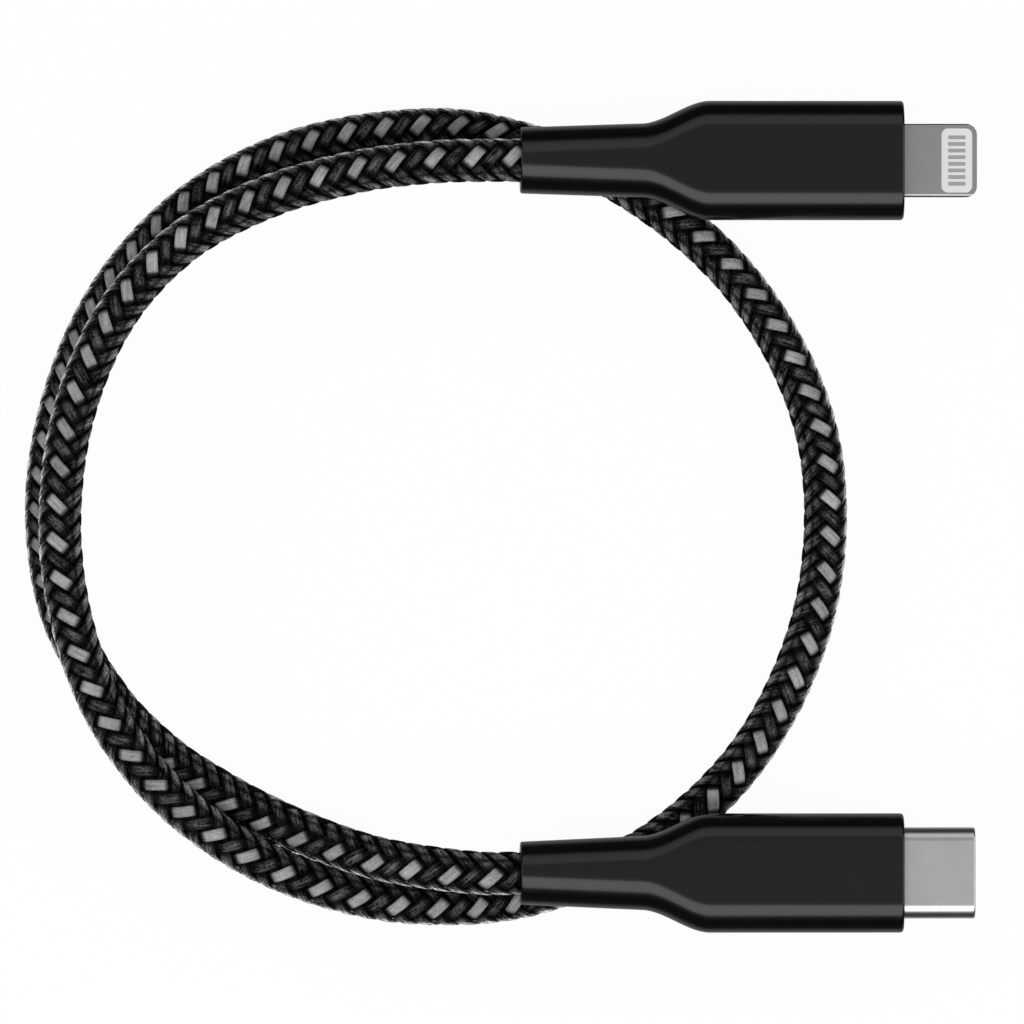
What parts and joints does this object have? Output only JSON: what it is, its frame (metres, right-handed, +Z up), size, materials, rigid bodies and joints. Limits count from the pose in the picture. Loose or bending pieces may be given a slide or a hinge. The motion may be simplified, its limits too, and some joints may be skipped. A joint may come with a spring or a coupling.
{
  "type": "braided charging cable",
  "caption": "Short braided charging cable, coiled one and a half turns, with a USB-C plug and an 8-pin reversible plug in tapered black housings.",
  "frame": {"origin": "on the surface the cable lies on, under the middle of the box round the whole cable", "axes": "+X the way both plugs point, +Y from the USB-C plug towards the 8-pin plug, +Z up from the surface"},
  "size_m": [0.0862, 0.0752, 0.0101],
  "materials": {
    "black_moulding": "satin black moulded plastic",
    "clear_mould": "translucent hot-melt plastic",
    "bright_steel": "smooth nickel-plated steel",
    "satin_steel": "satin steel",
    "spring_steel": "plain spring steel",
    "tinned_sheet": "tin-plated sheet",
    "grey_plastic": "dark grey connector plastic",
    "white_plastic": "white connector plastic",
    "gold_contact": "gold-plated contact",
    "grey_contact": "grey plated contact",
    "circuit_board": "green solder mask",
    "chip_black": "moulded chip package",
    "capacitor_tan": "tan ceramic chip capacitor",
    "cord_jacket": "black cord jacket",
    "braid": "black nylon braid with light grey flecks",
    "red_wire": "red wire insulation",
    "black_wire": "black wire insulation",
    "green_wire": "green wire insulation",
    "white_wire": "white wire insulation"
  },
  "bodies": {
    "root": {"usb_c_housing": "black_moulding", "usb_c_inner_mould": "clear_mould", "usb_c_shell": "bright_steel", "usb_c_contact_block": "grey_plastic", "usb_c_upper_contacts": "gold_contact", "usb_c_lower_contacts": "gold_contact", "usb_c_latch_plate": "spring_steel", "usb_c_upper_ground_spring": "spring_steel", "usb_c_lower_ground_spring": "spring_steel", "usb_c_board": "circuit_board", "usb_c_chip": "chip_black", "usb_c_capacitors": "capacitor_tan", "usb_c_upper_shield_can": "tinned_sheet", "usb_c_lower_shield_can": "tinned_sheet", "usb_c_crimp_ring": "tinned_sheet", "usb_c_cord_end": "cord_jacket", "usb_c_power_wire": "red_wire", "usb_c_ground_wire": "black_wire", "usb_c_data_plus_wire": "green_wire", "usb_c_data_minus_wire": "white_wire", "eight_pin_housing": "black_moulding", "eight_pin_inner_mould": "clear_mould", "eight_pin_tab": "satin_steel", "eight_pin_insert": "white_plastic", "eight_pin_upper_contacts": "grey_contact", "eight_pin_lower_contacts": "grey_contact", "eight_pin_board": "circuit_board", "eight_pin_chip": "chip_black", "eight_pin_capacitors": "capacitor_tan", "eight_pin_upper_shield_can": "tinned_sheet", "eight_pin_lower_shield_can": "tinned_sheet", "eight_pin_crimp_ring": "tinned_sheet", "eight_pin_cord_end": "cord_jacket", "eight_pin_power_wire": "red_wire", "eight_pin_ground_wire": "black_wire", "eight_pin_data_plus_wire": "green_wire", "eight_pin_data_minus_wire": "white_wire", "cord": "braid"}
  },
  "joints": []
}
